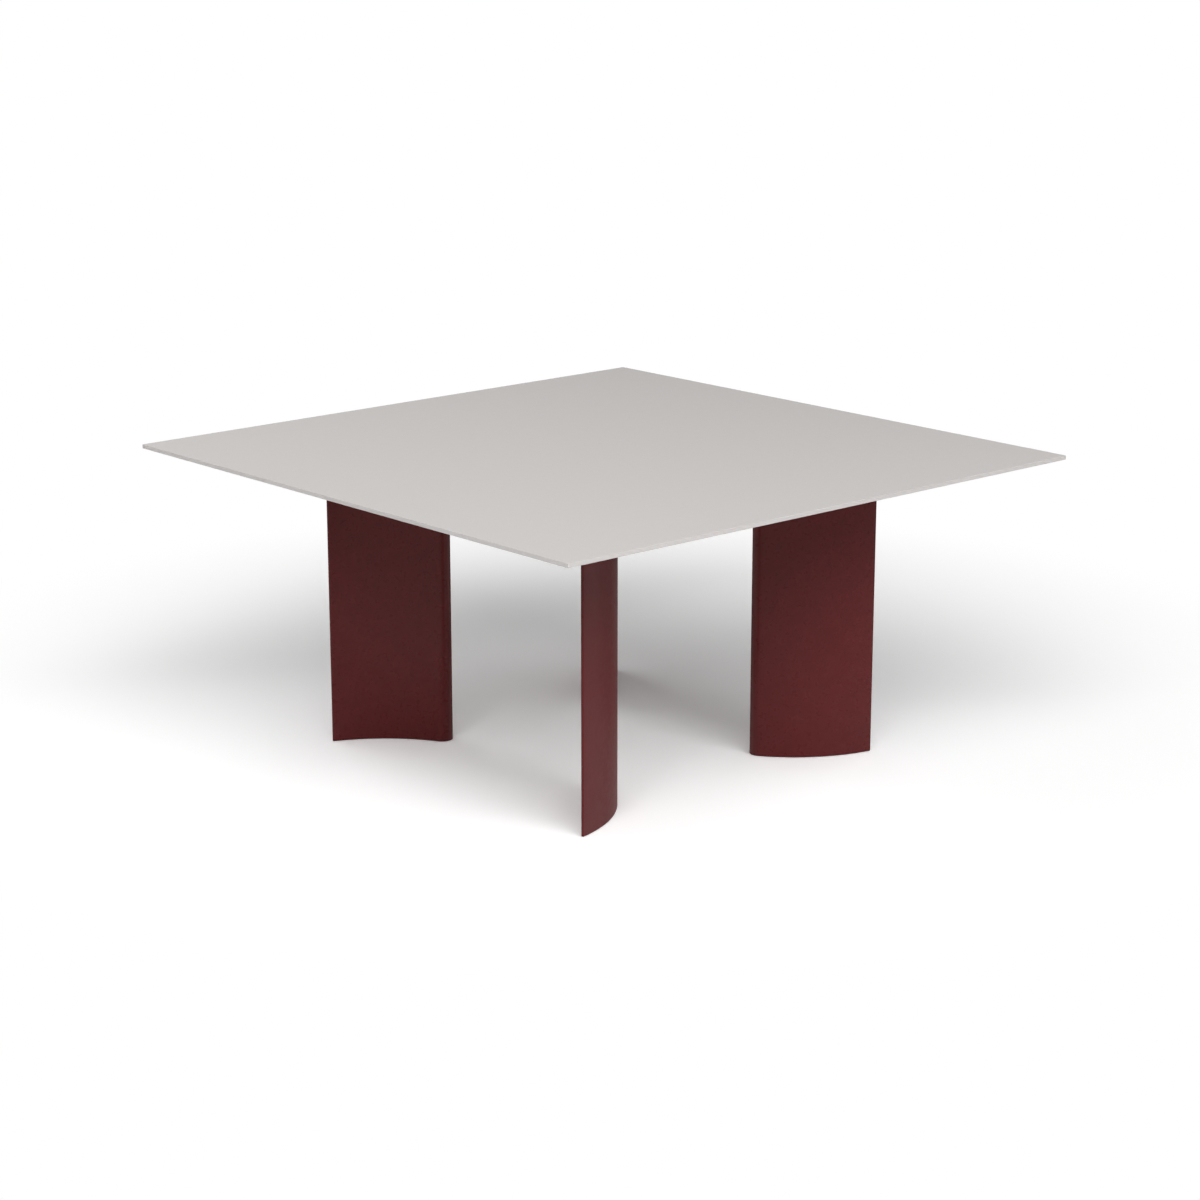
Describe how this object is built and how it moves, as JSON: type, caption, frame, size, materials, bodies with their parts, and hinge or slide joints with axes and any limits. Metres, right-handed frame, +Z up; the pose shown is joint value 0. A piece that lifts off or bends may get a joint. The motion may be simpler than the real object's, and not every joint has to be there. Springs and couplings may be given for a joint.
{
  "type": "square dining table",
  "caption": "Square dining table with a thin flat top on curved wing-section legs set in from its corners, standing on levelling feet hidden inside the legs.",
  "frame": {"origin": "on the floor, under the middle of the top", "axes": "+Z up; X and Y along the edges of the top, -Y the front"},
  "size_m": [1.6, 1.6, 0.76],
  "materials": {
    "top_laminate": "matte",
    "leg_coating": "satin",
    "rail_coating": "matte",
    "zinc_steel": "satin",
    "insert_brass": "satin",
    "foot_plastic": "matte"
  },
  "bodies": {
    "table": {"table_top": "top_laminate", "leg_shell_front_left": "leg_coating", "mounting_plate_front_left": "leg_coating", "base_plate_front_left": "leg_coating", "foot_bushes_front_left": "zinc_steel", "leg_shell_front_right": "leg_coating", "mounting_plate_front_right": "leg_coating", "base_plate_front_right": "leg_coating", "foot_bushes_front_right": "zinc_steel", "leg_shell_rear_left": "leg_coating", "mounting_plate_rear_left": "leg_coating", "base_plate_rear_left": "leg_coating", "foot_bushes_rear_left": "zinc_steel", "leg_shell_rear_right": "leg_coating", "mounting_plate_rear_right": "leg_coating", "base_plate_rear_right": "leg_coating", "foot_bushes_rear_right": "zinc_steel", "rail_front": "rail_coating", "rail_rear": "rail_coating", "rail_left": "rail_coating", "rail_right": "rail_coating", "plate_inserts": "insert_brass", "rail_inserts": "insert_brass", "plate_screws": "zinc_steel", "rail_bolts": "zinc_steel", "rail_screws": "zinc_steel", "rail_spacers": "foot_plastic"},
    "foot_front_left_inner": {"foot_stud_front_left_inner": "zinc_steel", "foot_pad_front_left_inner": "foot_plastic"},
    "foot_front_left_outer": {"foot_stud_front_left_outer": "zinc_steel", "foot_pad_front_left_outer": "foot_plastic"},
    "foot_front_right_inner": {"foot_stud_front_right_inner": "zinc_steel", "foot_pad_front_right_inner": "foot_plastic"},
    "foot_front_right_outer": {"foot_stud_front_right_outer": "zinc_steel", "foot_pad_front_right_outer": "foot_plastic"},
    "foot_rear_left_inner": {"foot_stud_rear_left_inner": "zinc_steel", "foot_pad_rear_left_inner": "foot_plastic"},
    "foot_rear_left_outer": {"foot_stud_rear_left_outer": "zinc_steel", "foot_pad_rear_left_outer": "foot_plastic"},
    "foot_rear_right_inner": {"foot_stud_rear_right_inner": "zinc_steel", "foot_pad_rear_right_inner": "foot_plastic"},
    "foot_rear_right_outer": {"foot_stud_rear_right_outer": "zinc_steel", "foot_pad_rear_right_outer": "foot_plastic"}
  },
  "joints": [
    {"name": "foot_front_left_inner_screw", "type": "slide", "parent": "table", "child": "foot_front_left_inner", "axis": [0, 0, -1], "range_m": [0, 0.01]},
    {"name": "foot_front_left_outer_screw", "type": "slide", "parent": "table", "child": "foot_front_left_outer", "axis": [0, 0, -1], "range_m": [0, 0.01]},
    {"name": "foot_front_right_inner_screw", "type": "slide", "parent": "table", "child": "foot_front_right_inner", "axis": [0, 0, -1], "range_m": [0, 0.01]},
    {"name": "foot_front_right_outer_screw", "type": "slide", "parent": "table", "child": "foot_front_right_outer", "axis": [0, 0, -1], "range_m": [0, 0.01]},
    {"name": "foot_rear_left_inner_screw", "type": "slide", "parent": "table", "child": "foot_rear_left_inner", "axis": [0, 0, -1], "range_m": [0, 0.01]},
    {"name": "foot_rear_left_outer_screw", "type": "slide", "parent": "table", "child": "foot_rear_left_outer", "axis": [0, 0, -1], "range_m": [0, 0.01]},
    {"name": "foot_rear_right_inner_screw", "type": "slide", "parent": "table", "child": "foot_rear_right_inner", "axis": [0, 0, -1], "range_m": [0, 0.01]},
    {"name": "foot_rear_right_outer_screw", "type": "slide", "parent": "table", "child": "foot_rear_right_outer", "axis": [0, 0, -1], "range_m": [0, 0.01]}
  ]
}
